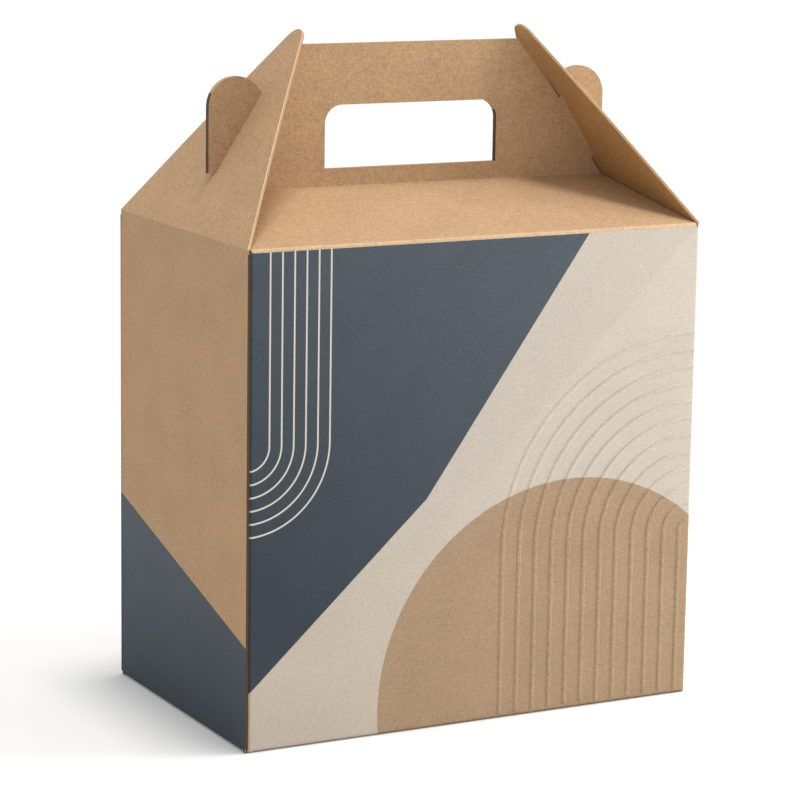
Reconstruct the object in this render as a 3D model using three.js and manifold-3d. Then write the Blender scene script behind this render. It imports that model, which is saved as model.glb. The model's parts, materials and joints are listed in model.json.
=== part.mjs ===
// Gable carry box folded from one sheet of fine-flute kraft board.
//
// Millimetres, +Z up. The origin is at the centre of the base, X runs from left to right
// and the front faces -Y. The walls, base, roof and double handle are one folded solid.
// The two gable flaps stand on the side walls' top creases. Each flap has a slit on its
// centre line that is pushed over an ear of the handle.

import * as THREE from 'three';
import { mergeVertices } from 'three/addons/utils/BufferGeometryUtils.js';
import Module from 'manifold-3d';

// Driving sizes

const length = 230; // outside, left to right
const depth = 140; // outside, front to back
const wallHeight = 224; // base to the top creases of the walls
const board = 1.3; // thickness of the board
const foldRadius = 0.5; // inside radius of a fold

const roofRise = 16; // top creases to the handle's crease
const handleHeight = 65; // handle's crease to its top edge
const handleGap = 0.3; // between the front and rear handle panels
const handleSetback = 4.5; // handle's top corner to the flap beside it

const holeWidth = 89.2; // hand hole
const holeHeight = 29;
const holeSill = 8.2; // handle's crease to the hand hole
const holeRadius = 8.5; // its two upper corners

const earInset = 12.5; // ear's outer edge to the wall's face
const earFoot = 8.5; // handle's crease to the ear's lower edge
const earTop = 51.6; // handle's crease to the top of the ear
const earRadius = 13.5; // its round top
const hookDepth = 6.5; // how far the ear hooks over the flap

const flapLean = 33.3; // degrees from upright, when the box is closed
const flapReach = 105; // crease to the tip, along the flap
const tipRadius = 8;

const glueWidth = 25; // glue flap inside the left wall
const frontBaseReach = 82; // base flaps, from their own walls
const rearBaseReach = 92;
const sideBaseReach = 66;
const baseTaper = 14; // how far a base flap narrows at each end
const rampWidth = 14; // where an upper base flap climbs over the one below

const clearance = 0.3; // between the flaps and what they stand on, hook over or pass
const earClearance = 0.35; // at each side of the handle in a flap's slit
const arcSegments = 20; // steps in each round corner
const foldStep = 18; // degrees turned by each step of a fold

// Places worked out from the driving sizes

const halfLength = length / 2;
const halfDepth = depth / 2;
const lean = THREE.MathUtils.degToRad(flapLean);
const mitre = board * Math.tan(lean / 2);
const handleFace = handleGap / 2 + board;
const creaseHeight = wallHeight + roofRise;
const handleTopHeight = creaseHeight + handleHeight;
const earFootHeight = creaseHeight + earFoot;
const eaveFold = foldRadius + board;

const earEdge = halfLength - earInset;
const earCentre = new THREE.Vector2(earEdge - earRadius, creaseHeight + earTop - earRadius);

// Where a flap's slit starts and ends, measured along the flap from its crease. The nearest
// and farthest points of the ear, seen from the crease, pass both ends as the flap turns.
const earNear = Math.hypot(earInset, earFootHeight - wallHeight);
const earFar = Math.hypot(halfLength - earCentre.x, earCentre.y - wallHeight) + earRadius;
const slitStart = Math.sqrt((earNear - clearance) ** 2 - board ** 2);
const slitEnd = earFar + clearance;
const slitWidth = 2 * (handleFace + earClearance);

// Solids

const wasm = await Module();
wasm.setup();

function toSolid(geometry) {
  geometry.deleteAttribute('normal');
  geometry.deleteAttribute('uv');
  const merged = mergeVertices(geometry);
  return new wasm.Manifold(new wasm.Mesh({
    numProp: 3,
    vertProperties: Float32Array.from(merged.attributes.position.array),
    triVerts: Uint32Array.from(merged.index.array),
  }));
}

function toGeometry(solid) {
  const mesh = solid.getMesh();
  const geometry = new THREE.BufferGeometry();
  geometry.setAttribute('position', new THREE.BufferAttribute(Float32Array.from(mesh.vertProperties), 3));
  geometry.setIndex(new THREE.BufferAttribute(Uint32Array.from(mesh.triVerts), 1));
  geometry.computeVertexNormals();
  return geometry;
}

function join(solids) {
  return solids.reduce((whole, solid) => whole.add(solid));
}

// A prism of a shape, from one place to another along an axis. The shape's own x and y
// lie along Y and Z for a prism along X, along X and Z for one along Y, and along X and Y
// for one along Z.
const prismBasis = {
  x: [new THREE.Vector3(0, 1, 0), new THREE.Vector3(0, 0, 1), new THREE.Vector3(1, 0, 0)],
  y: [new THREE.Vector3(1, 0, 0), new THREE.Vector3(0, 0, 1), new THREE.Vector3(0, -1, 0)],
  z: [new THREE.Vector3(1, 0, 0), new THREE.Vector3(0, 1, 0), new THREE.Vector3(0, 0, 1)],
};

function prism(axis, shape, from, to) {
  const geometry = new THREE.ExtrudeGeometry(shape, {
    depth: to - from,
    bevelEnabled: false,
    curveSegments: arcSegments,
  });
  const start = axis === 'y' ? -to : from;
  geometry.translate(0, 0, start);
  geometry.applyMatrix4(new THREE.Matrix4().makeBasis(...prismBasis[axis]));
  return toSolid(geometry);
}

// Folded sheets

function point(x, y) {
  return new THREE.Vector2(x, y);
}

function mirrored(points) {
  return points.map((p) => point(-p.x, p.y)).reverse();
}

// The two faces of a folded sheet in section. Its outer face follows the path, the board
// lies on the path's right, and every corner of the path becomes a round fold.
function foldedFaces(path) {
  const right = (direction) => point(direction.y, -direction.x);
  const directions = path.slice(1).map((p, i) => p.clone().sub(path[i]).normalize());
  const outer = [path[0].clone()];
  const inner = [path[0].clone().addScaledVector(right(directions[0]), board)];
  for (let i = 1; i < path.length - 1; i += 1) {
    const before = directions[i - 1];
    const after = directions[i];
    const turn = Math.atan2(before.cross(after), before.dot(after));
    const side = turn < 0 ? 1 : -1;
    const radius = turn < 0 ? foldRadius + board : foldRadius;
    const tangent = radius * Math.tan(Math.abs(turn) / 2);
    const start = path[i].clone().addScaledVector(before, -tangent);
    const centre = start.clone().addScaledVector(right(before), side * radius);
    const spoke = start.clone().sub(centre).normalize();
    const steps = Math.ceil(Math.abs(THREE.MathUtils.radToDeg(turn)) / foldStep);
    for (let k = 0; k <= steps; k += 1) {
      const ray = spoke.clone().rotateAround(point(0, 0), (turn * k) / steps);
      outer.push(centre.clone().addScaledVector(ray, radius));
      inner.push(centre.clone().addScaledVector(ray, radius - side * board));
    }
  }
  const last = directions[directions.length - 1];
  outer.push(path[path.length - 1].clone());
  inner.push(path[path.length - 1].clone().addScaledVector(right(last), board));
  return { outer, inner };
}

function sheetSection({ outer, inner }) {
  return [...outer, ...inner.reverse()];
}

// Walls

const wallPath = [
  point(-halfLength, -halfDepth),
  point(-halfLength, halfDepth),
  point(halfLength, halfDepth),
  point(halfLength, -halfDepth),
  point(-halfLength + board, -halfDepth),
  point(-halfLength + board, -halfDepth + glueWidth),
];

// The walls are two sheets that share the rear wall, because the glue flap lies against
// the left wall.
function wallRing() {
  const leftAndRear = new THREE.Shape(sheetSection(foldedFaces(wallPath.slice(0, 3))));
  const rearToGlue = new THREE.Shape(sheetSection(foldedFaces(wallPath.slice(1))));
  return join([leftAndRear, rearToGlue].map((shape) => prism('z', shape, eaveFold, wallHeight - eaveFold)));
}

// Everything inside the walls' outer faces, with their round corners.
function wallContour() {
  const { outer } = foldedFaces(wallPath);
  return prism('z', new THREE.Shape(outer.slice(0, -1)), 0, handleTopHeight);
}

// Outline of the front and rear panels, seen from the front

// A place beside the right flap: along it from its crease, and inwards from its outer face.
function besideFlap(along, inwards) {
  return point(
    halfLength - along * Math.sin(lean) - inwards * Math.cos(lean),
    wallHeight + along * Math.cos(lean) - inwards * Math.sin(lean),
  );
}

// The same flap's inner face and the clearance inside it, at a height.
function insideFlap(height) {
  return halfLength - (height - wallHeight) * Math.tan(lean) - (board + clearance) / Math.cos(lean);
}

function handHole() {
  const sill = creaseHeight + holeSill;
  const half = holeWidth / 2;
  const hole = new THREE.Path();
  hole.moveTo(-half, sill);
  hole.lineTo(half, sill);
  hole.absarc(half - holeRadius, sill + holeHeight - holeRadius, holeRadius, 0, Math.PI / 2);
  hole.absarc(-half + holeRadius, sill + holeHeight - holeRadius, holeRadius, Math.PI / 2, Math.PI);
  hole.closePath();
  return hole;
}

function panelOutline() {
  const hookAlong = besideFlapAlong(-clearance);
  const hookTop = besideFlap(hookAlong, -clearance).sub(earCentre);
  const hookAngle = Math.atan2(hookTop.y, hookTop.x);
  const notchOuter = besideFlap(hookAlong - hookDepth, -clearance);
  const notchInner = besideFlap(hookAlong - hookDepth, board + clearance);
  const eaveEdge = insideFlap(wallHeight);
  const half = new THREE.Path();
  half.moveTo(halfLength, 0);
  half.lineTo(halfLength, wallHeight - eaveFold);
  half.lineTo(eaveEdge, wallHeight - eaveFold);
  half.lineTo(eaveEdge, wallHeight);
  half.lineTo(insideFlap(earFootHeight), earFootHeight);
  half.lineTo(earEdge, earFootHeight);
  half.absarc(earCentre.x, earCentre.y, earRadius, 0, hookAngle);
  half.lineTo(notchOuter.x, notchOuter.y);
  half.lineTo(notchInner.x, notchInner.y);
  half.lineTo(insideFlap(handleTopHeight) - handleSetback, handleTopHeight);
  const points = half.getPoints(arcSegments);
  const outline = new THREE.Shape([...points, ...mirrored(points)]);
  outline.holes.push(handHole());
  return outline;
}

// How far along the flap the ear's round top meets a line beside the flap.
function besideFlapAlong(inwards) {
  const across = halfLength - earCentre.x;
  const up = earCentre.y - wallHeight;
  const centreAlong = across * Math.sin(lean) + up * Math.cos(lean);
  const centreInwards = across * Math.cos(lean) - up * Math.sin(lean);
  return centreAlong + Math.sqrt(earRadius ** 2 - (inwards - centreInwards) ** 2);
}

// Front and rear panels: base flap, wall, roof and handle in one strip

function strip(baseReach, layer) {
  const lift = layer * board;
  const base = layer > 0
    ? [point(-halfDepth + baseReach, lift), point(-halfDepth + rampWidth, lift)]
    : [point(-halfDepth + baseReach, lift)];
  const path = [
    ...base,
    point(-halfDepth, 0),
    point(-halfDepth, wallHeight),
    point(-handleFace, creaseHeight),
    point(-handleFace, handleTopHeight),
  ];
  return sheetSection(foldedFaces(path));
}

// What is cut from the two ends of a base flap, seen from below.
function endTapers(start, end, half, swap) {
  const place = (along, across) => (swap ? point(along, across) : point(across, along));
  const corners = [place(start, half), place(end, half), place(end, half - baseTaper)];
  const opposite = [place(start, -half), place(end, -half), place(end, -half + baseTaper)];
  return [corners, opposite];
}

function trimmed(solid, tapers) {
  return tapers.reduce(
    (rest, corners) => rest.subtract(prism('z', new THREE.Shape(corners), 0, wallHeight / 2)),
    solid,
  );
}

function frontPanels() {
  const solid = prism('x', new THREE.Shape(strip(frontBaseReach, 0)), -halfLength, halfLength);
  const start = -halfDepth + eaveFold;
  return trimmed(solid, endTapers(start, -halfDepth + frontBaseReach, halfLength, false));
}

function rearPanels() {
  const solid = prism('x', new THREE.Shape(mirrored(strip(rearBaseReach, 2))), -halfLength, halfLength);
  const start = halfDepth - eaveFold;
  return trimmed(solid, endTapers(start, halfDepth - rearBaseReach, halfLength, false));
}

// Side panels: base flap and wall, cut at the top to leave room for the leaning flap

function sideSection() {
  const { outer, inner } = foldedFaces([
    point(-halfLength + sideBaseReach, board),
    point(-halfLength + rampWidth, board),
    point(-halfLength, 0),
    point(-halfLength, wallHeight),
  ]);
  inner[inner.length - 1].y -= mitre;
  return sheetSection({ outer, inner });
}

function sidePanels() {
  const left = sideSection();
  const right = mirrored(left);
  const start = halfLength - eaveFold;
  const end = halfLength - sideBaseReach;
  return [
    trimmed(prism('y', new THREE.Shape(left), -halfDepth, halfDepth), endTapers(-start, -end, halfDepth, true)),
    trimmed(prism('y', new THREE.Shape(right), -halfDepth, halfDepth), endTapers(start, end, halfDepth, true)),
  ];
}

function carton() {
  const across = prism('y', panelOutline(), -halfDepth, halfDepth);
  const panels = join([frontPanels(), rearPanels()]).intersect(across);
  return join([panels, ...sidePanels()]).intersect(wallContour()).add(wallRing());
}

// Gable flaps, each in its own place: X inwards from the outer face, Z up the flap

function flapOutline() {
  const centre = flapReach - tipRadius;
  const toCorner = Math.atan2(-centre, halfDepth);
  const touch = toCorner + Math.acos(tipRadius / Math.hypot(halfDepth, centre));
  const outline = new THREE.Shape();
  outline.moveTo(-halfDepth, -board);
  outline.lineTo(halfDepth, -board);
  outline.lineTo(halfDepth, 0);
  outline.absarc(0, centre, tipRadius, touch, Math.PI - touch);
  outline.lineTo(-halfDepth, 0);
  const slit = new THREE.Path([
    point(-slitWidth / 2, slitStart),
    point(slitWidth / 2, slitStart),
    point(slitWidth / 2, slitEnd),
    point(-slitWidth / 2, slitEnd),
  ]);
  outline.holes.push(slit);
  return outline;
}

function gableFlap(side) {
  const section = [
    point(0, clearance),
    point(-side * board, clearance + mitre),
    point(-side * board, flapReach),
    point(0, flapReach),
  ];
  const plate = prism('y', new THREE.Shape(section), -halfDepth, halfDepth);
  return plate.intersect(prism('x', flapOutline(), -2 * board, 2 * board));
}

// Scene

const kraft = { color: 0xb9936b, roughness: 0.85, metalness: 0 };

function namedMesh(name, solid) {
  const mesh = new THREE.Mesh(toGeometry(solid), new THREE.MeshStandardMaterial(kraft));
  mesh.name = name;
  return mesh;
}

function hungFlap(name, side) {
  const mesh = namedMesh(name, gableFlap(side));
  mesh.position.set(side * halfLength, 0, wallHeight);
  mesh.rotation.y = -side * lean;
  return mesh;
}

const box = new THREE.Group();
box.add(namedMesh('carton', carton()));
box.add(hungFlap('left_gable_flap', -1));
box.add(hungFlap('right_gable_flap', 1));

export default box;
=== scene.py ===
"""A gable carry box folded from kraft board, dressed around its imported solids.

The carton keeps the solid's form. Its folds are smoothed and its faces sorted into liner,
print, inside and cut edge. Each gable flap is cut flat, bent over its crease and blended
across it. All places are in the solids' own frame, in metres.
"""

import json
import math

import bmesh
import bpy
from mathutils import Matrix, Vector


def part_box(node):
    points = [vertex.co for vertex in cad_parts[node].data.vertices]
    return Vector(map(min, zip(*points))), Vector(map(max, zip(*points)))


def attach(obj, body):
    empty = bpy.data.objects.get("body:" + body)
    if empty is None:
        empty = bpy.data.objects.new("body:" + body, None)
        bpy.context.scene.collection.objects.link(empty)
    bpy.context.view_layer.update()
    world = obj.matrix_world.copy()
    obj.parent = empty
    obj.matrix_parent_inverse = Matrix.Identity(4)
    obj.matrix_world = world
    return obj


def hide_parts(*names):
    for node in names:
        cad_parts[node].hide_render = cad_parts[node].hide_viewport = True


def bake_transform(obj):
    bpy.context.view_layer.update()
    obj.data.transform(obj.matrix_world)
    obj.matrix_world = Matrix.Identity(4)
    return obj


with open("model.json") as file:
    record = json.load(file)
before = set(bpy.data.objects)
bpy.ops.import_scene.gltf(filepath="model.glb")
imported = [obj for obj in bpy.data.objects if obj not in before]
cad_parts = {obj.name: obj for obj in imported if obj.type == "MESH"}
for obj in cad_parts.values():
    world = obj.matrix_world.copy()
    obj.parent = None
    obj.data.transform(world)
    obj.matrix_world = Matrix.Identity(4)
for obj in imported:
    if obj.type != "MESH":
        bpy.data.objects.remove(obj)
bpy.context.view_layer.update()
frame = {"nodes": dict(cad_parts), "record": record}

MM = 0.001

# Sizes of the box, from the frame

carton_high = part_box("carton")[1]
crease_at = Vector(frame["record"]["behaviour"]["joints"][1]["pos_m"])
HALF_LENGTH = carton_high.x
HALF_DEPTH = carton_high.y
EAVES = crease_at.z
HANDLE_FOOT = EAVES + 17 * MM

# The same box in millimetres, for the materials

HIGH = EAVES / MM
LEFT = -HALF_LENGTH / MM
FRONT = -HALF_DEPTH / MM

# Sizes that the flaps are laid out from

BOARD = 1.3 * MM
FOLD = 1.8 * MM
LEAN = math.radians(33.3)
FLAP_REACH = 105 * MM
TIP_RADIUS = 8 * MM
SLIT_START = 29.2 * MM
SLIT_END = 64.5 * MM
SLIT_HALF = 1.8 * MM
# Width of the strip that carries the slit's painted highlight.
LIP_HIGHLIGHT_HALF = 3.0 * MM
FLAP_BOW = 0.6 * MM
TIP_STEPS = 10
FOLD_STEPS = 8
BOW_STEPS = 14

# The flap's tail lies in the wall. It stands proud at the crease and sinks at its end, so
# that it shares no face with the wall.

FLAP_TAIL = 3 * MM
TAIL_INSET = 1.1 * MM
SHOULDER_INSET = 0.4 * MM
SHOULDER_START = -0.6 * MM
SHOULDER_END = 0.4 * MM
PROUD = 0.06 * MM
PROUD_FADES_OVER = 7 * MM
SUNK = 0.12 * MM
SUNK_UP_TO = -2 * MM

# Sizes of the ribs pressed through the front

RIB_COUNT = 12
RIB_PITCH = 8.64 * MM
RIB_RIGHT = HALF_LENGTH - 1.6 * MM
RIB_FIRST_RADIUS = RIB_RIGHT - 13.5 * MM
RIB_CENTRE_HEIGHT = 79.5 * MM
RIB_FLATTEN = 0.94
RIB_WIDTH = 2.6 * MM
RIB_HEIGHT = 0.64 * MM
RIB_SLOPE = 0.55
RIB_FOOT = 2.2 * MM
RIB_SUNK = 0.02 * MM
RIB_STEPS = 13
RIB_ARC_STEP = 2.5 * MM
RIB_FEWEST_ARC_STEPS = 8

# Shares of a rib's full height, and the stretches over which they change

RIB_UPRIGHT = 0.6
RIB_FAINTEST = 0.3
RIB_GROWS_FROM = 12 * MM
RIB_GROWS_OVER = 55 * MM
RIB_GROWS_UP = 40 * MM


# Shader maths


class Value:
    """A shader socket that adds Math nodes when it is used in an expression."""

    def __init__(self, shading, socket):
        self.shading = shading
        self.socket = socket

    def math(self, operation, *others, clamp=False):
        settings = {"operation": operation, "use_clamp": clamp}
        return self.shading.node("ShaderNodeMath", settings, dict(enumerate([self, *others])))

    def __add__(self, other):
        return self.math("ADD", other)

    def __sub__(self, other):
        return self.math("SUBTRACT", other)

    def __rsub__(self, other):
        return self.math("MULTIPLY_ADD", -1.0, other)

    def __mul__(self, other):
        return self.math("MULTIPLY", other)

    __radd__ = __add__

    def ramp(self, low, high):
        """0 at low, 1 at high, straight in between and level outside."""
        share = 1 / (high - low)
        return self.math("MULTIPLY_ADD", share, -low * share, clamp=True)

    def least(self, other):
        return self.math("MINIMUM", other)

    def most(self, other):
        return self.math("MAXIMUM", other)


class Shading:
    """The nodes of a material or a world, around the shader that they feed."""

    def __init__(self, owner, shader):
        owner.use_nodes = True
        self.owner = owner
        self.tree = owner.node_tree
        self.shader = self.tree.nodes[shader]

    def node(self, kind, settings=None, inputs=None, output=0):
        made = self.tree.nodes.new(kind)
        for key, value in (settings or {}).items():
            setattr(made, key, value)
        for key, value in (inputs or {}).items():
            self.feed(made.inputs[key], value)
        return Value(self, made.outputs[output])

    def feed(self, socket, value):
        if isinstance(value, Value):
            self.tree.links.new(value.socket, socket)
        else:
            socket.default_value = value

    def finish(self, **sockets):
        for name, value in sockets.items():
            self.feed(self.shader.inputs[name.replace("_", " ")], value)
        return self.owner

    def place(self):
        """The point on the object as a vector, and its x, y and z, in millimetres."""
        coordinates = self.node("ShaderNodeTexCoord", output="Object")
        scaling = {0: coordinates, "Scale": 1 / MM}
        place = self.node("ShaderNodeVectorMath", {"operation": "SCALE"}, scaling)
        axes = [self.node("ShaderNodeSeparateXYZ", None, {0: place}, axis) for axis in range(3)]
        return place, *axes

    def noise(self, place, scale, stretch=(1, 1, 1), detail=2.0, roughness=0.5):
        """Noise around 0.5. The scale is in features for each millimetre."""
        settings = {"operation": "MULTIPLY"}
        stretched = self.node("ShaderNodeVectorMath", settings, {0: place, 1: stretch})
        inputs = {"Vector": stretched, "Scale": scale, "Detail": detail, "Roughness": roughness}
        return self.node("ShaderNodeTexNoise", None, inputs)

    def mix(self, factor, first, second, blend="MIX"):
        settings = {"data_type": "RGBA", "blend_type": blend, "clamp_factor": True}
        return self.node("ShaderNodeMix", settings, {0: factor, 6: first, 7: second}, 2)

    def tint(self, colour, amount):
        """A colour made lighter or darker by an amount around 1."""
        grey = self.node("ShaderNodeCombineColor", None, {0: amount, 1: amount, 2: amount})
        return self.mix(1.0, colour, grey, "MULTIPLY")

    def bump(self, height, distance):
        """A normal from a height given as a share of the distance in metres."""
        return self.node("ShaderNodeBump", None, {"Distance": distance, "Height": height})

    def seen(self):
        """1 for rays that end in the picture, 0 for light that falls on other things."""
        kinds = ("Is Camera Ray", "Is Glossy Ray", "Is Transmission Ray")
        camera, glossy, clear = (self.node("ShaderNodeLightPath", output=kind) for kind in kinds)
        return camera.most(glossy).most(clear)


def material(name):
    return Shading(bpy.data.materials.new(name), "Principled BSDF")


def srgb(red, green, blue):
    """A colour given as it is seen, 0 to 255, as linear numbers."""

    def linear(level):
        share = level / 255
        return share / 12.92 if share <= 0.04045 else ((share + 0.055) / 1.055) ** 2.4

    return (linear(red), linear(green), linear(blue), 1.0)


KRAFT = srgb(183, 149, 113)
KRAFT_INSIDE = srgb(179, 140, 92)
CUT_EDGE = srgb(198, 165, 128)
LIGHT_EDGE = srgb(228, 203, 172)
# A pale tone for a painted highlight along the slit's front edge on the flap's inner face.
LIP_HIGHLIGHT_TONE = srgb(208, 176, 138)
# A dark brown for painted shade: on cut edges facing the sides and in the shadow along the
# front's foot.
EDGE_SHADE_BROWN = srgb(84, 66, 50)
WORN_FOLD = srgb(212, 182, 148)
# The two navies below are one ink in painted light and in painted shade.
NAVY_LIT = srgb(74, 83, 90)
NAVY_SHADED = srgb(51, 61, 69)
CREAM = srgb(197, 186, 172)
# The cream in painted shade, used towards the foot.
CREAM_SHADED = srgb(194, 180, 164)
DISC = srgb(168, 141, 111)
LINE_WHITE = srgb(216, 209, 198)


# Kraft board: places and the flutes' pitch in millimetres, depths of the bumps in metres

FLUTE_PITCH = 2.4
FLUTES_OUTSIDE = 0.04
FLUTES_INSIDE = 0.1
GRAIN_DEPTH = 0.1 * MM
PRINT_DEPTH = 0.08 * MM
PULP_DEPTH = 0.12 * MM
NEAR_LAYER = (0.15, 0.3)
EAVES_WEAR_IN = (FRONT + 1.5, FRONT + 0.6)
EAVES_WEAR_UP = (HIGH - 2.5, HIGH - 1.5)
EAVES_WEAR_SHARE = 0.7


def paper_grain(shading, place):
    """Lightness around 1, and height, of kraft liner: cloudiness, grain, fibres and flecks."""
    cloud = shading.noise(place, 0.045, detail=3.0)
    blotch = shading.noise(place, 0.4, detail=3.0)
    grain = shading.noise(place, 1.0, detail=3.0, roughness=0.8)
    fibre = shading.noise(place, 1.3, stretch=(0.3, 0.3, 1.6), detail=2.0)
    fleck = shading.noise(place, 1.2, detail=1.0)
    shade = 1.0 + (cloud - 0.5) * 0.20 + (blotch - 0.5) * 0.22
    shade = shade + (grain - 0.5) * 1.0 + (fibre - 0.5) * 0.26
    shade = shade - fleck.ramp(0.60, 0.72) * 0.18 + fleck.ramp(0.38, 0.28) * 0.12
    height = grain * 0.8 + blotch * 0.5 + fibre * 0.3
    return shade, height


def flute_waves(across):
    """The faint washboard that the flutes press through the liner."""
    return (across * (2 * math.pi / FLUTE_PITCH)).math("SINE")


def softened(shade, share):
    """The board's lightness with only a share of its unevenness."""
    return shade * share + (1.0 - share)


def kraft_liner():
    """The board's outer face, worn lighter along the front eaves."""
    shading = material("kraft_liner")
    place, x, y, z = shading.place()
    shade, height = paper_grain(shading, place)
    eaves = y.ramp(*EAVES_WEAR_IN) * z.ramp(*EAVES_WEAR_UP)
    worn = shading.tint(WORN_FOLD, shade)
    return shading.finish(
        Base_Color=shading.mix(eaves * EAVES_WEAR_SHARE, shading.tint(KRAFT, shade), worn),
        Roughness=1.07 - shade * 0.25,
        Normal=shading.bump(height + flute_waves(x) * FLUTES_OUTSIDE, GRAIN_DEPTH),
        Specular_IOR_Level=0.25,
    )


def kraft_inside():
    shading = material("kraft_inside")
    place, _, y, _ = shading.place()
    shade, height = paper_grain(shading, place)
    return shading.finish(
        Base_Color=shading.tint(KRAFT_INSIDE, shade),
        Roughness=1.13 - shade * 0.25,
        Normal=shading.bump(height + flute_waves(y) * FLUTES_INSIDE, GRAIN_DEPTH),
        Specular_IOR_Level=0.2,
    )


def cut_edge(name, colour, far_colour):
    """Raw cut board: one colour near the outer liner, the other through the rest."""
    shading = material(name)
    place, x, y, z = shading.place()
    pulp = shading.noise(place, 2.2, detail=4.0, roughness=0.7)
    depth = shading.node("ShaderNodeAttribute", {"attribute_name": "depth"}, output="Fac")
    mixed = shading.mix(depth.ramp(*NEAR_LAYER), colour, far_colour)
    return shading.finish(
        Base_Color=shading.tint(mixed, pulp * 0.5 + flute_waves(x + y + z * 0.35) * 0.05 + 0.7),
        Roughness=pulp * 0.1 + 0.85,
        Normal=shading.bump(pulp, PULP_DEPTH),
        Specular_IOR_Level=0.15,
    )


# Print, laid out in millimetres on each wall

NAVY_TOP_RIGHT = (56.5, HIGH)
NAVY_KINK = (-26.0, 107.0)
NAVY_FOOT = (LEFT, 25.6)
LEFT_NAVY_FRONT = (FRONT, 47.9)
LEFT_NAVY_REAR = (-FRONT, 89.6)
DISC_CENTRE = (50.0, 10.0)
DISC_RADIUS = 99.6
LINE_CENTRE = (LEFT, 137.6)
LINE_FIRST_RADIUS = 10.8
LINE_PITCH = 5.86
LINE_COUNT = 6
LINE_WIDTH = 0.75
SOFT = 0.12
# Heights over which the cream's painted shade gives way to its plain colour.
CREAM_SHADE_HEIGHTS = (5.0, 105.0)
CREAM_GRAIN = 0.6
# The navy ramps paint shade low down and light towards the top right.
NAVY_LIGHT_RAMP = (10.0, 205.0)
NAVY_LIGHT_SLANT = 0.6
LEFT_NAVY_LIGHT_RAMP = (8.0, 75.0)
TOP_WEAR = (HIGH - 1.5, HIGH - 0.9)
# Heights and share of the painted contact shadow along the front's foot.
FOOT_SHADE_HEIGHTS = (1.2, 0.3)
FOOT_SHADE_SHARE = 0.6


def left_of(x, z, first, second):
    """1 on the left of a straight edge that climbs from first to second."""
    run = second[0] - first[0]
    rise = second[1] - first[1]
    span = math.hypot(run, rise)
    distance = (x - first[0]) * (rise / span) - (z - first[1]) * (run / span)
    return distance.ramp(SOFT, -SOFT)


def reach(across, up):
    """The distance that two steps at right angles make."""
    return (across * across + up * up).math("SQRT")


def disc(x, z):
    """1 inside the kraft arch, which the ink leaves bare."""
    away = reach(x - DISC_CENTRE[0], z - DISC_CENTRE[1])
    return away.ramp(DISC_RADIUS + SOFT, DISC_RADIUS - SOFT)


def white_lines(x, z):
    """Thin lines down from the top edge, turned round to the left edge."""
    away = reach(x - LINE_CENTRE[0], (z - LINE_CENTRE[1]).least(0.0))
    steps = (away - LINE_FIRST_RADIUS) * (1 / LINE_PITCH)
    nearest = steps.math("ROUND").most(0.0).least(LINE_COUNT - 1.0)
    gap = (steps - nearest).math("ABSOLUTE") * LINE_PITCH
    return gap.ramp(LINE_WIDTH / 2 + SOFT, LINE_WIDTH / 2 - SOFT)


def navy_ink(shading, shade, light_share):
    """Navy with painted shade and painted light: the third argument runs from 0, painted shade,
    to 1, painted light; the board's grain shows through.
    """
    return shading.tint(shading.mix(light_share, NAVY_SHADED, NAVY_LIT), shade)


def printed(shading, colour, ink, height, across):
    return shading.finish(
        Base_Color=colour,
        Roughness=0.84 - ink * 0.12,
        Normal=shading.bump(height + flute_waves(across) * FLUTES_OUTSIDE, PRINT_DEPTH),
        Specular_IOR_Level=0.3,
    )


def front_print():
    """Cream round the bare arch, navy with white lines over them, the worn top fold, painted
    shade lower down on the cream and navy, and a painted shadow along the foot.
    """
    shading = material("front_print")
    place, x, _, z = shading.place()
    shade, height = paper_grain(shading, place)
    lower_navy = left_of(x, z, NAVY_FOOT, NAVY_KINK)
    navy = lower_navy.least(left_of(x, z, NAVY_KINK, NAVY_TOP_RIGHT))
    bare = disc(x, z)
    # painted shade: the cream darkens towards the foot
    cream = shading.mix(z.ramp(*CREAM_SHADE_HEIGHTS), CREAM_SHADED, CREAM)
    cream = shading.tint(cream, softened(shade, CREAM_GRAIN))
    colour = shading.mix(bare, cream, shading.tint(DISC, shade))
    # painted light and shade on the navy: lighter up and to the right, darker down and to the
    # left
    ink = navy_ink(shading, shade, (z + x * NAVY_LIGHT_SLANT).ramp(*NAVY_LIGHT_RAMP))
    colour = shading.mix(navy, colour, ink)
    colour = shading.mix(white_lines(x, z) * navy, colour, LINE_WHITE)
    colour = shading.mix(z.ramp(*TOP_WEAR), colour, shading.tint(WORN_FOLD, shade))
    # painted shadow: a dark line along the foot where the box meets the floor
    foot = z.ramp(*FOOT_SHADE_HEIGHTS) * FOOT_SHADE_SHARE
    colour = shading.mix(foot, colour, shading.tint(EDGE_SHADE_BROWN, shade))
    return printed(shading, colour, navy.most(1.0 - bare), height, x)


def left_print():
    """Bare kraft above a slanted navy field."""
    shading = material("left_print")
    place, _, y, z = shading.place()
    shade, height = paper_grain(shading, place)
    navy = 1.0 - left_of(y, z, LEFT_NAVY_FRONT, LEFT_NAVY_REAR)
    # painted shade on the left wall's navy: darker towards the foot
    ink = navy_ink(shading, shade, z.ramp(*LEFT_NAVY_LIGHT_RAMP))
    colour = shading.mix(navy, shading.tint(KRAFT, shade), ink)
    return printed(shading, colour, navy, height, y)


LINER = kraft_liner()
INSIDE = kraft_inside()
EDGE = cut_edge("cut_edge", CUT_EDGE, CUT_EDGE)
# The slit's painted highlight.
LIP_HIGHLIGHT = cut_edge("lip_painted_highlight", LIP_HIGHLIGHT_TONE, LIP_HIGHLIGHT_TONE)
FLAP_EDGE = cut_edge("cut_edge_of_flap", LIGHT_EDGE, KRAFT)
# Cut edges in painted shade.
SHADED_EDGE = cut_edge("cut_edge_painted_shade", EDGE_SHADE_BROWN, EDGE_SHADE_BROWN)
FRONT_PRINT = front_print()
LEFT_PRINT = left_print()


# Meshes

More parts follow.
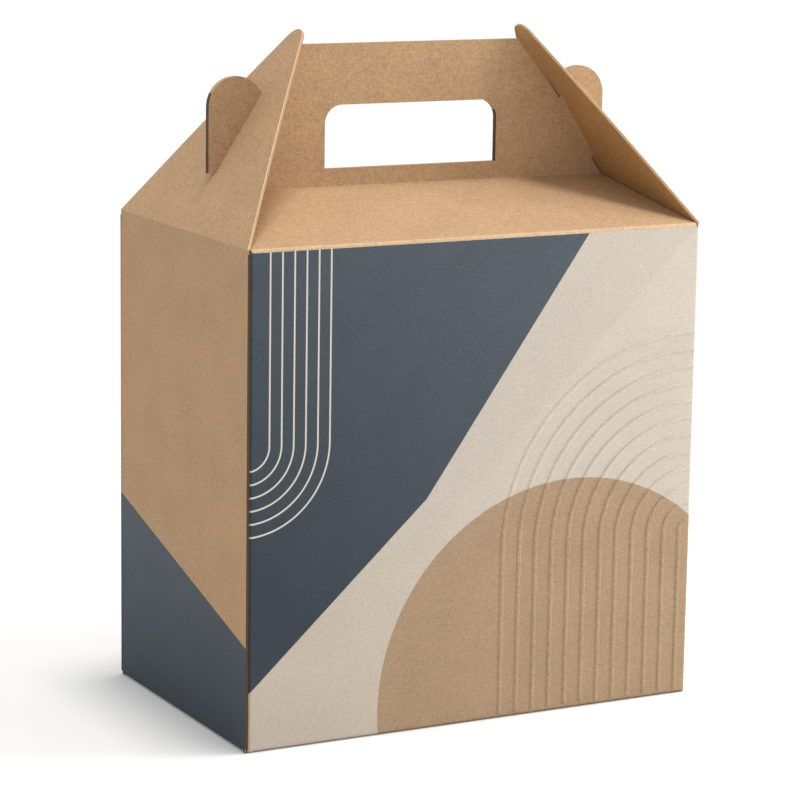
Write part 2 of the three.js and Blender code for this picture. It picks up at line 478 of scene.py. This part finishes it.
WELD = 0.001 * MM
CUT_WITHIN = 0.0001 * MM
FLAT_WITHIN = math.radians(0.2)
SHARP_FOLD = math.radians(25)
SHARP_RIB = math.radians(60)


def new_piece(name, bm, materials):
    mesh = bpy.data.meshes.new(name)
    bm.to_mesh(mesh)
    bm.free()
    for item in materials:
        mesh.materials.append(item)
    piece = bpy.data.objects.new(name, mesh)
    bpy.context.scene.collection.objects.link(piece)
    return piece


def smooth_folds(bm, sharpest):
    """Smooth shading, kept sharp where two faces meet at more than an angle."""
    for face in bm.faces:
        face.smooth = True
    for edge in bm.edges:
        edge.smooth = edge.is_manifold and edge.calc_face_angle() < sharpest


def vertices(geometry):
    return [item for item in geometry if isinstance(item, bmesh.types.BMVert)]


def edges(geometry):
    return [item for item in geometry if isinstance(item, bmesh.types.BMEdge)]


def faces(geometry):
    return [item for item in geometry if isinstance(item, bmesh.types.BMFace)]


# Carton

CARTON_FINISHES = [LINER, FRONT_PRINT, LEFT_PRINT, INSIDE, EDGE, SHADED_EDGE]
USE_LINER, USE_FRONT, USE_LEFT, USE_INSIDE, USE_EDGE, USE_SHADED_EDGE = range(6)
HANDLE_SLACK = 0.45 * MM
UNDERSIDE = 0.1 * MM

# How much of a face's normal lies along an axis

SQUARELY = 0.9
MOSTLY = 0.7
HALFWAY = 0.5
PARTLY = 0.3
SLIGHTLY = 0.25


def carton_finish(face):
    """Which of the carton's finishes a face of the folded sheet takes."""
    middle = face.calc_center_median()
    normal = face.normal
    if abs(middle.y) < BOARD + HANDLE_SLACK and middle.z > HANDLE_FOOT:
        if abs(normal.y) > MOSTLY:
            return USE_LINER
        # painted shade: the handle's cut edges that face the sides take the dark edge
        return USE_SHADED_EDGE if abs(normal.x) > SQUARELY else USE_EDGE
    if middle.z > EAVES - FOLD:
        if abs(normal.x) > PARTLY:
            return USE_EDGE
        return USE_LINER if normal.z > 0 or abs(normal.y) > SQUARELY else USE_INSIDE
    # painted shade: the front's raw end at the left corner takes the dark edge, for the shadow
    # in the corner's gap
    if middle.x < -HALF_LENGTH + BOARD and normal.y < -SQUARELY:
        return USE_SHADED_EDGE
    if middle.y < -HALF_DEPTH + FOLD and normal.y < -SLIGHTLY:
        return USE_FRONT
    if middle.x < -HALF_LENGTH + FOLD and normal.x < -SLIGHTLY:
        return USE_LEFT
    if normal.z < -MOSTLY and middle.z < UNDERSIDE:
        return USE_LINER
    outward = middle.x * abs(normal.x) * normal.x + middle.y * abs(normal.y) * normal.y > 0
    return USE_LINER if outward and abs(normal.z) < HALFWAY else USE_INSIDE


def carton():
    """The solid's own form with its flat faces joined up, its folds smoothed and dressed."""
    bm = bmesh.new()
    bm.from_mesh(frame["nodes"]["carton"].data)
    bmesh.ops.remove_doubles(bm, verts=bm.verts, dist=WELD)
    bmesh.ops.dissolve_limit(
        bm, angle_limit=FLAT_WITHIN, verts=bm.verts, edges=bm.edges, delimit=set()
    )
    for face in bm.faces:
        face.material_index = carton_finish(face)
    smooth_folds(bm, SHARP_FOLD)
    piece = new_piece("carton_board", bm, CARTON_FINISHES)
    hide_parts("carton")
    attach(piece, "carton")


def rib_section(bm, middle):
    """The closed section of one rib across the front, raised outward and flat inside."""
    section = []
    for step in range(RIB_STEPS):
        across = step / (RIB_STEPS - 1) * 2 - 1
        share = min((1 - abs(across)) / RIB_SLOPE, 1.0)
        swell = share * share * (3 - 2 * share)
        depth = -HALF_DEPTH + RIB_SUNK - swell * RIB_HEIGHT
        section.append(bm.verts.new((middle + across * RIB_WIDTH / 2, depth, RIB_FOOT)))
    for side in (1, -1):
        place = (middle + side * RIB_WIDTH / 2, -HALF_DEPTH + BOARD / 4, RIB_FOOT)
        section.append(bm.verts.new(place))
    return [bm.edges.new((one, other)) for one, other in zip(section, section[1:] + section[:1])]


def rib_share(place):
    """The share of its full height that a rib has: even low down, growing rightward above."""
    across = min(max((place.x - RIB_GROWS_FROM) / RIB_GROWS_OVER, 0.0), 1.0)
    above = min(max((place.z - RIB_CENTRE_HEIGHT) / RIB_GROWS_UP, 0.0), 1.0)
    return RIB_UPRIGHT * (1 - above) + (RIB_FAINTEST + (1 - RIB_FAINTEST) * across) * above


def emboss():
    """Ribs pressed through the front: up from the foot, then round to the right edge."""
    bm = bmesh.new()
    for index in range(RIB_COUNT):
        radius = RIB_FIRST_RADIUS - index * RIB_PITCH
        section = rib_section(bm, RIB_RIGHT - radius)
        lifted = bmesh.ops.extrude_edge_only(bm, edges=section)["geom"]
        top = vertices(lifted)
        bmesh.ops.translate(bm, verts=top, vec=(0, 0, RIB_CENTRE_HEIGHT - RIB_FOOT))
        bmesh.ops.spin(
            bm,
            geom=top + edges(lifted),
            cent=(RIB_RIGHT, 0, RIB_CENTRE_HEIGHT),
            axis=(0, 1, 0),
            dvec=(0, 0, 0),
            angle=math.pi / 2,
            steps=max(RIB_FEWEST_ARC_STEPS, int(radius / RIB_ARC_STEP)),
            use_merge=False,
            use_duplicate=False,
        )
    bmesh.ops.remove_doubles(bm, verts=bm.verts, dist=WELD)
    bmesh.ops.holes_fill(bm, edges=[edge for edge in bm.edges if edge.is_boundary], sides=0)
    arcs = [vertex for vertex in bm.verts if vertex.co.z > RIB_CENTRE_HEIGHT]
    centre = Matrix.Translation((0, 0, -RIB_CENTRE_HEIGHT))
    bmesh.ops.scale(bm, verts=arcs, vec=(1, 1, RIB_FLATTEN), space=centre)
    for vertex in bm.verts:
        rise = -HALF_DEPTH + RIB_SUNK - vertex.co.y
        if rise > 0:
            vertex.co.y += rise * (1 - rib_share(vertex.co))
    bmesh.ops.recalc_face_normals(bm, faces=bm.faces)
    smooth_folds(bm, SHARP_RIB)
    piece = new_piece("front_emboss", bm, [FRONT_PRINT])
    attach(piece, "carton")


# Gable flaps: cut flat as (along, across, depth), then bent over the crease

FLAP_FINISHES = [LINER, INSIDE, FLAP_EDGE, LIP_HIGHLIGHT]
ON_OUTER, ON_INNER, ON_CUT, ON_LIP_HIGHLIGHT = range(4)


def half_flap_outline():
    """Half of the flap as (across, along) points, with half of the slit."""
    centre = FLAP_REACH - TIP_RADIUS
    corner = math.atan2(-centre, HALF_DEPTH)
    touch = corner + math.acos(TIP_RADIUS / math.hypot(HALF_DEPTH, centre))
    turns = [touch + (math.pi / 2 - touch) * step / TIP_STEPS for step in range(TIP_STEPS + 1)]
    return [
        (0, -FLAP_TAIL),
        (HALF_DEPTH - TAIL_INSET, -FLAP_TAIL),
        (HALF_DEPTH - TAIL_INSET, SHOULDER_START),
        (HALF_DEPTH - SHOULDER_INSET, SHOULDER_END),
        *((TIP_RADIUS * math.cos(a), centre + TIP_RADIUS * math.sin(a)) for a in turns),
        (0, SLIT_END),
        (SLIT_HALF, SLIT_END),
        (SLIT_HALF, SLIT_START),
        (0, SLIT_START),
    ]


def bent(along, across, depth, side):
    """A place on the flat flap carried over the crease of the left (-1) or right (1) wall."""
    tangent = FOLD * math.tan(LEAN / 2)
    turn = min(max((along + tangent) / FOLD, 0.0), LEAN)
    beyond = max(along + tangent - FOLD * LEAN, 0.0)
    if along < SUNK_UP_TO:
        depth += SUNK
    else:
        depth -= PROUD * max(0.0, 1 - beyond / PROUD_FADES_OVER)
    inward = FOLD - (FOLD - depth) * math.cos(turn)
    height = (FOLD - depth) * math.sin(turn) - tangent + min(along + tangent, 0.0)
    bow = FLAP_BOW * math.sin(math.pi * beyond / FLAP_REACH)
    inward += beyond * math.sin(LEAN) - bow * math.cos(LEAN)
    height += beyond * math.cos(LEAN) + bow * math.sin(LEAN)
    return Vector((side * (HALF_LENGTH - inward), across, EAVES + height))


def cut_across(bm, place, normal):
    everything = bm.verts[:] + bm.edges[:] + bm.faces[:]
    bmesh.ops.bisect_plane(bm, geom=everything, dist=CUT_WITHIN, plane_co=place, plane_no=normal)


def flap_finish(face, outer, inner):
    """Which of the flap's finishes a face takes. A strip of the inner face before the slit takes
    a painted highlight.
    """
    if face in outer:
        return ON_OUTER
    if face not in inner:
        return ON_CUT
    middle = face.calc_center_median()
    # painted highlight: a light strip on the inner face along the slit
    on_highlight = -LIP_HIGHLIGHT_HALF < middle.y < 0 and SLIT_START < middle.x < SLIT_END
    return ON_LIP_HIGHLIGHT if on_highlight else ON_INNER


def gable_flap(name, side):
    """One flap cut flat from half an outline, given its thickness, bent and blended."""
    bm = bmesh.new()
    through = bm.verts.layers.float.new("depth")
    bm.faces.new([bm.verts.new((along, across, 0)) for across, along in half_flap_outline()])
    tangent = math.tan(LEAN / 2)
    folds = [FOLD * (step / FOLD_STEPS * LEAN - tangent) for step in range(FOLD_STEPS + 1)]
    bow = [FLAP_REACH * step / BOW_STEPS for step in range(1, BOW_STEPS)]
    for along in folds + bow + [SLIT_START, SLIT_END]:
        cut_across(bm, (along, 0, 0), (1, 0, 0))
    cut_across(bm, (0, LIP_HIGHLIGHT_HALF, 0), (0, 1, 0))
    everything = bm.verts[:] + bm.edges[:] + bm.faces[:]
    bmesh.ops.mirror(bm, geom=everything, axis="Y", merge_dist=WELD)
    outer = set(bm.faces)
    made = bmesh.ops.extrude_face_region(bm, geom=list(outer), use_keep_orig=True)["geom"]
    bmesh.ops.translate(bm, verts=vertices(made), vec=(0, 0, BOARD))
    for vertex in vertices(made):
        vertex[through] = 1.0
    inner = set(faces(made))
    for face in bm.faces:
        face.material_index = flap_finish(face, outer, inner)
    for vertex in bm.verts:
        vertex.co = bent(*vertex.co, side)
    bmesh.ops.recalc_face_normals(bm, faces=bm.faces)
    smooth_folds(bm, SHARP_FOLD)
    piece = new_piece(name + "_board", bm, FLAP_FINISHES)
    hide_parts(name)
    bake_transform(piece)


# Studio

CAMERA_YAW = math.radians(-28.02)
CAMERA_PITCH = math.radians(11.1)
CAMERA_ROLL = math.radians(0.87)
CAMERA_DISTANCE = 1.454
CAMERA_AIM = Vector((-0.00315, 0, 0.1376))
CAMERA_FOCAL_PIXELS = 3105
PICTURE_PIXELS = 800
SENSOR = 36.0

SKY = 0.64
OVERHEAD = 1.9
OVERHEAD_TOWARDS = (0.08, -0.05, 1.0)
OVERHEAD_SPREAD = math.radians(16)
KEY = 10.0
KEY_TOWARDS = (1.05, -0.42, 0.44)
KEY_SIZE = 0.5
FLOOR_GLOW = 0.07
FLOOR_GREY = 0.76
FLOOR_RADIUS = 30.0
FLOOR_SIDES = 64
FLOOR_DROP = 0.1 * MM


def camera():
    """The camera that saw the photograph, fitted to the box's corners."""
    data = bpy.data.cameras.new("camera")
    data.sensor_width = SENSOR
    data.lens = CAMERA_FOCAL_PIXELS * SENSOR / PICTURE_PIXELS
    data.clip_end = 100
    item = bpy.data.objects.new("camera", data)
    back = Vector((
        math.sin(CAMERA_YAW) * math.cos(CAMERA_PITCH),
        -math.cos(CAMERA_YAW) * math.cos(CAMERA_PITCH),
        math.sin(CAMERA_PITCH),
    ))
    right = Vector((0, 0, 1)).cross(back).normalized()
    up = back.cross(right)
    turned_right = right * math.cos(CAMERA_ROLL) + up * math.sin(CAMERA_ROLL)
    turned_up = up * math.cos(CAMERA_ROLL) - right * math.sin(CAMERA_ROLL)
    axes = Matrix((turned_right, turned_up, back)).transposed().to_4x4()
    item.matrix_world = Matrix.Translation(CAMERA_AIM + back * CAMERA_DISTANCE) @ axes
    bpy.context.scene.collection.objects.link(item)
    bpy.context.scene.camera = item


def grey(level):
    return (level, level, level, 1.0)


def floor():
    """A wide pale floor that fills the picture and keeps the box's shadow."""
    bm = bmesh.new()
    bmesh.ops.create_circle(bm, cap_ends=True, segments=FLOOR_SIDES, radius=FLOOR_RADIUS)
    bmesh.ops.translate(bm, verts=bm.verts, vec=(0, 0, -FLOOR_DROP))
    shading = material("studio_floor")
    glow = shading.mix(shading.seen(), grey(0.0), grey(FLOOR_GLOW))
    shading.finish(
        Base_Color=grey(FLOOR_GREY),
        Roughness=1.0,
        Specular_IOR_Level=0.0,
        Emission_Color=glow,
        Emission_Strength=1.0,
    )
    new_piece("studio_floor", bm, [shading.owner])


def light(name, kind, towards, energy, **settings):
    """A light that stands in a direction from the origin and shines back at it."""
    data = bpy.data.lights.new(name, kind)
    data.energy = energy
    for key, value in settings.items():
        setattr(data, key, value)
    item = bpy.data.objects.new(name, data)
    item.location = Vector(towards)
    item.rotation_euler = Vector(towards).to_track_quat("Z", "Y").to_euler()
    bpy.context.scene.collection.objects.link(item)


def lights():
    light("overhead", "SUN", OVERHEAD_TOWARDS, OVERHEAD, angle=OVERHEAD_SPREAD)
    light("right_key", "AREA", KEY_TOWARDS, KEY, size=KEY_SIZE)
    world = bpy.data.worlds.new("studio")
    bpy.context.scene.world = world
    shading = Shading(world, "Background")
    shading.finish(Color=shading.mix(shading.seen(), grey(SKY), grey(1.0)), Strength=1.0)


carton()
emboss()
gable_flap("left_gable_flap", -1)
gable_flap("right_gable_flap", 1)
camera()
floor()
lights()
bpy.context.scene.view_settings.view_transform = "Standard"
